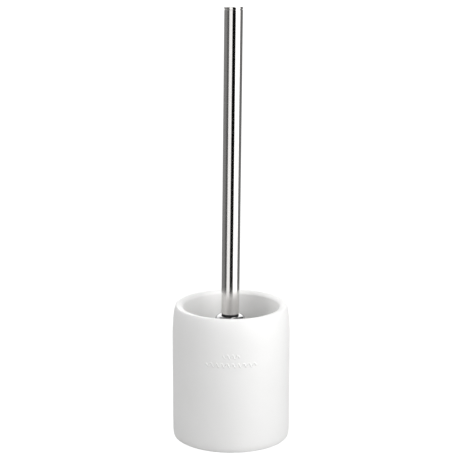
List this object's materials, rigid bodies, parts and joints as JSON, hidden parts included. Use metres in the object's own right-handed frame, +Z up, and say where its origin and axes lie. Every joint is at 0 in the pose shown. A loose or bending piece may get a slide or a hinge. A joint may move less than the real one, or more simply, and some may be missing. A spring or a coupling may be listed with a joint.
{
  "type": "toilet brush holder",
  "caption": "Round matt ceramic toilet brush pot with a lift-out brush on a slim chromed tube handle that unscrews from its bristle head.",
  "frame": {"origin": "on the floor, at the middle of the pot, on the pot's own axis", "axes": "+Z up along the pot's axis; -Y is the front; the brush stands 1.9 mm off towards -X and leans 0.6 degrees towards +X"},
  "size_m": [0.1, 0.1, 0.368],
  "materials": {
    "pot_ceramic": "matte",
    "pad_rubber": "matte",
    "handle_steel": "polished",
    "collar_chrome": "polished",
    "handle_plug": "satin",
    "brush_core": "satin",
    "bristle": "satin"
  },
  "bodies": {
    "holder": {"holder_pot": "pot_ceramic", "foot_pad_1": "pad_rubber", "foot_pad_2": "pad_rubber", "foot_pad_3": "pad_rubber", "foot_pad_4": "pad_rubber"},
    "head": {"brush_core": "brush_core", "tuft_01": "bristle", "tuft_02": "bristle", "tuft_03": "bristle", "tuft_04": "bristle", "tuft_05": "bristle", "tuft_06": "bristle", "tuft_07": "bristle", "tuft_08": "bristle", "tuft_09": "bristle", "tuft_10": "bristle", "tuft_11": "bristle", "tuft_12": "bristle", "tuft_13": "bristle", "tuft_14": "bristle", "tuft_15": "bristle", "tuft_16": "bristle", "tuft_17": "bristle", "tuft_18": "bristle", "tuft_19": "bristle", "tuft_20": "bristle", "tuft_21": "bristle", "tuft_22": "bristle", "tuft_23": "bristle", "tuft_24": "bristle", "tuft_25": "bristle", "tuft_26": "bristle", "tuft_27": "bristle", "tuft_28": "bristle", "tuft_29": "bristle", "tuft_30": "bristle", "tuft_31": "bristle", "tuft_32": "bristle", "tuft_33": "bristle", "tuft_34": "bristle", "tuft_35": "bristle", "tuft_36": "bristle", "tuft_37": "bristle", "tuft_38": "bristle", "tuft_39": "bristle", "tuft_40": "bristle", "tuft_41": "bristle", "tuft_42": "bristle", "tuft_43": "bristle", "tuft_44": "bristle", "tuft_45": "bristle", "tuft_46": "bristle", "tuft_47": "bristle", "tuft_48": "bristle", "tuft_49": "bristle", "tuft_50": "bristle"},
    "collar": {"collar": "collar_chrome"},
    "handle": {"handle_tube": "handle_steel", "handle_end_cap": "handle_steel", "handle_plug": "handle_plug"}
  },
  "joints": [
    {"name": "brush_lift", "type": "slide", "parent": "holder", "child": "head", "axis": [0, 0, 1], "range_m": [0, 0.13]},
    {"name": "handle_rise", "type": "slide", "parent": "head", "child": "collar", "axis": [0.0105, 0, 0.9999], "range_m": [0, 0.0121]},
    {"name": "handle_unscrew", "type": "hinge", "parent": "collar", "child": "handle", "pos_m": [-0.0019, 0, 0.0094], "axis": [0.0105, 0, 0.9999], "range_deg": [0, 1440]}
  ],
  "couplings": [
    {"joint": "handle_rise", "follows": "handle_unscrew", "m_per_rad": 0.00047746}
  ]
}
